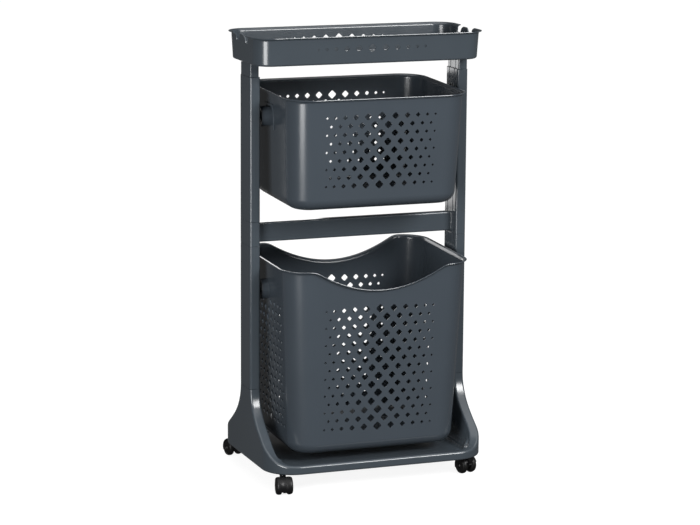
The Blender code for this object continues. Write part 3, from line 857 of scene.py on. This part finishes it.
def build_hood(name):
    """Twin fender with a valley down its middle, centre web and the stem boss."""
    outer = [
        (0.0000, 0.0182), (0.0022, 0.0186), (0.0042, 0.0193), (0.0062, 0.0197), (0.0090, 0.0199),
        (0.0120, 0.0198), (0.0143, 0.0194), (0.0158, 0.0187), (0.0166, 0.0179), (0.0168, 0.0172),
    ]
    under = [(0.0160, 0.0172), (0.0156, 0.0180), (0.0142, 0.0183), (0.0100, 0.0184), (0.0042, 0.0183),
             (0.0000, 0.0170)]
    right = outer + under
    left = [(-x, r) for x, r in right[1:-1]][::-1]
    hood = sweep_cover(name, right + left, 26.0, 205.0, 26)
    web = []
    for k in range(25):
        a = math.radians(12.0 + 203.0 * k / 24)
        web.append((-TRAIL + 0.0188 * math.cos(a), WHEEL_R + 0.0188 * math.sin(a)))
    web += [(-TRAIL - 0.006, WHEEL_R - 0.0075), (-TRAIL + 0.006, WHEEL_R - 0.0075)]
    combine(hood, [prism("web", web, -0.0042, 0.0042, axis="X")], "UNION")
    boss = ((0.0, 0.0252), (0.0042, 0.0252), (0.0066, 0.0300), (0.0066, HOOD_TOP - 0.0008),
            (0.0058, HOOD_TOP), (0.0, HOOD_TOP))
    combine(hood, [lathe("boss", boss, 32)], "UNION")
    return hood


def wheel_profile(s):
    x0, x1 = WHEEL_IN, WHEEL_IN + WHEEL_W
    pts = (
        (AXLE_R + 0.0001, x0), (0.0120, x0), (0.0142, x0 + 0.0004), (0.0160, x0 + 0.0014),
        (0.0170, x0 + 0.0028), (0.0175, x0 + 0.0046), (0.0174, x0 + 0.0072), (0.0169, x0 + 0.0092),
        (0.0158, x1 - 0.0014), (0.0146, x1 - 0.0006), (0.0138, x1 - 0.0005), (0.0134, x1 - 0.0010),
        (0.0090, x1 - 0.0004), (0.0060, x1), (0.0050, x1 - 0.0014), (AXLE_R + 0.0001, x1 - 0.0014),
    )
    return [(r, s * x) for r, x in pts]


def build_caster(label, sx, sy, turn):
    at = Vector((sx * CASTER_X, sy * CASTER_Y, 0.0))
    spin = Matrix.Rotation(turn, 4, "Z")
    node = "caster_" + label
    bush = ((STEM_R + 0.0001, 0.0386), (0.0084, 0.0386), (0.0088, 0.0389), (0.0088, BASE_BOTTOM - 0.0001),
            (0.0060, BASE_BOTTOM - 0.0001), (0.0060, 0.0540), (STEM_R + 0.0001, 0.0540))
    piece(lathe(node + "_bush_shell", bush, 32, center=at), "caster_plastic", "frame", [node + "_bush"])
    stem = ((0.0, 0.0282), (STEM_R, 0.0282), (STEM_R, HOOD_TOP + 0.0003), (0.0052, HOOD_TOP + 0.0003),
            (0.0056, HOOD_TOP + 0.0005), (0.0056, 0.0381), (0.0053, 0.0383), (STEM_R, 0.0383),
            (STEM_R, 0.0530), (0.0, 0.0530))
    body = node + "_fork"
    piece(lathe(node + "_stem_shell", stem, 32, center=at), "steel", body, [node + "_stem"])
    hood = build_hood(node + "_hood_shell")
    hood.data.transform(Matrix.Translation(at) @ spin)
    piece(hood, "caster_plastic", body, [node + "_hood"])
    hub = at + spin @ Vector((0.0, -TRAIL, WHEEL_R))
    half = WHEEL_IN + WHEEL_W - 0.0018
    axle = ((0.0, -half), (AXLE_R - 0.0003, -half), (AXLE_R, -half + 0.0004), (AXLE_R, half - 0.0004),
            (AXLE_R - 0.0003, half), (0.0, half))
    piece(lathe(node + "_axle_shell", axle, 24, axis="X", center=hub, turn=spin), "steel", body,
          [node + "_axle"])
    for side, mark in ((-1, "a"), (1, "b")):
        wheel = lathe(node + "_wheel_" + mark + "_shell", wheel_profile(side), 56, axis="X", center=hub,
                      turn=spin)
        piece(wheel, "wheel_nylon", node + "_wheel_" + mark + "_body", [node + "_wheel_" + mark])


# ---------------------------------------------------------------- assembly
piece(build_base(), "frame_plastic", "frame", ["base_tray"])
build_posts()
build_rail()
build_tray()
UPPER_ROWS = hole_rows(COLUMNS, 9, UPPER_TOP_ROW, UPPER_PITCH, shrink=UPPER_NARROWING)
LOWER_ROWS = hole_rows(COLUMNS, 15, LOWER_TOP_ROW, LOWER_PITCH)
SIDE_ROWS = side_lattice(LOWER_TOP_ROW, 15, LOWER_PITCH, LOWER_PIVOT)
upper_inner = build_basket("upper_basket", UPPER, flat_rim, UPPER_ROWS, [], UPPER_SHIFT, True)
lower_inner = build_basket("lower_basket", LOWER, dip_rim, LOWER_ROWS, SIDE_ROWS, LOWER_SHIFT, False)
for sign, word in ((-1, "left"), (1, "right")):
    build_peg("peg_upper_" + word, sign, UPPER_PIVOT, upper_inner)
    build_peg("peg_lower_" + word, sign, LOWER_PIVOT, lower_inner)
for entry in CASTERS:
    build_caster(*entry)

# ---------------------------------------------------------------- camera
AZIMUTH, ELEVATION, ROLL = math.radians(-20.67), math.radians(11.10), math.radians(0.40)
DISTANCE = 5.763
TARGET = Vector((-0.0084, 0.0, 0.4457))
back = Vector((math.sin(AZIMUTH) * math.cos(ELEVATION), -math.cos(AZIMUTH) * math.cos(ELEVATION),
               math.sin(ELEVATION)))
right = Vector((math.cos(AZIMUTH), math.sin(AZIMUTH), 0.0))
up = back.cross(right)
cam_x = right * math.cos(ROLL) + up * math.sin(ROLL)
cam_y = up * math.cos(ROLL) - right * math.sin(ROLL)
cam_data = bpy.data.cameras.new("camera")
cam_data.sensor_width = 36.0
cam_data.lens = 139.52
cam_data.clip_end = 200.0
camera = bpy.data.objects.new("camera", cam_data)
bpy.context.scene.collection.objects.link(camera)
pose = Matrix((cam_x, cam_y, back)).transposed().to_4x4()
pose.translation = TARGET + back * DISTANCE
camera.matrix_world = pose
bpy.context.scene.camera = camera

# ---------------------------------------------------------------- floor
bm = bmesh.new()
bmesh.ops.create_grid(bm, x_segments=1, y_segments=1, size=40.0)
floor = raw_object("studio_floor", bm)
floor_mat = bpy.data.materials.new("studio_floor_look")
floor_mat.use_nodes = True
shader = floor_mat.node_tree.nodes["Principled BSDF"]
shader.inputs["Base Color"].default_value = (0.16, 0.16, 0.16, 1.0)
shader.inputs["Roughness"].default_value = 1.0
shader.inputs["Specular IOR Level"].default_value = 0.0
shader.inputs["Emission Color"].default_value = (1.0, 1.0, 1.0, 1.0)
shader.inputs["Emission Strength"].default_value = 0.90
floor.data.materials.append(floor_mat)
floor.visible_glossy = False
floor.visible_diffuse = False

# ---------------------------------------------------------------- light
# The camera sees a white backdrop; everything else is lit by a dim one.
world = bpy.data.worlds.new("studio")
bpy.context.scene.world = world
world.use_nodes = True
tree = world.node_tree
background = tree.nodes["Background"]
background.inputs["Color"].default_value = (1.0, 1.0, 1.0, 1.0)
path = tree.nodes.new("ShaderNodeLightPath")
level = tree.nodes.new("ShaderNodeMapRange")
level.inputs["To Min"].default_value = 0.10
level.inputs["To Max"].default_value = 1.05
tree.links.new(path.outputs["Is Camera Ray"], level.inputs["Value"])
tree.links.new(level.outputs["Result"], background.inputs["Strength"])


def softbox(name, azimuth, distance, center_z, width, height, power, aim_z=0.45):
    """Area light at an azimuth measured from the front, towards +X."""
    data = bpy.data.lights.new(name, "AREA")
    data.shape = "RECTANGLE"
    data.size = width
    data.size_y = height
    data.energy = power
    light = bpy.data.objects.new(name, data)
    bpy.context.scene.collection.objects.link(light)
    a = math.radians(azimuth)
    light.location = (distance * math.sin(a), -distance * math.cos(a), center_z)
    aim = Vector((0.0, 0.0, aim_z)) - light.location
    light.rotation_euler = aim.to_track_quat("-Z", "Y").to_euler()
    light.visible_camera = False


softbox("strip_left", -47.0, 2.4, 0.72, 0.90, 1.36, 62.0, aim_z=0.72)
softbox("key_front", 30.0, 3.2, 2.2, 1.8, 1.2, 178.0)
softbox("glow_back", 180.0, 0.62, 0.65, 0.30, 0.42, 1.25, aim_z=0.65)
sun_data = bpy.data.lights.new("overhead", "SUN")
sun_data.energy = 2.0
sun_data.angle = math.radians(75.0)
sun = bpy.data.objects.new("overhead", sun_data)
sun.rotation_euler = (math.radians(8.0), 0.0, 0.0)
bpy.context.scene.collection.objects.link(sun)

bpy.context.scene.view_settings.view_transform = "Standard"
bpy.context.scene.view_settings.look = "None"
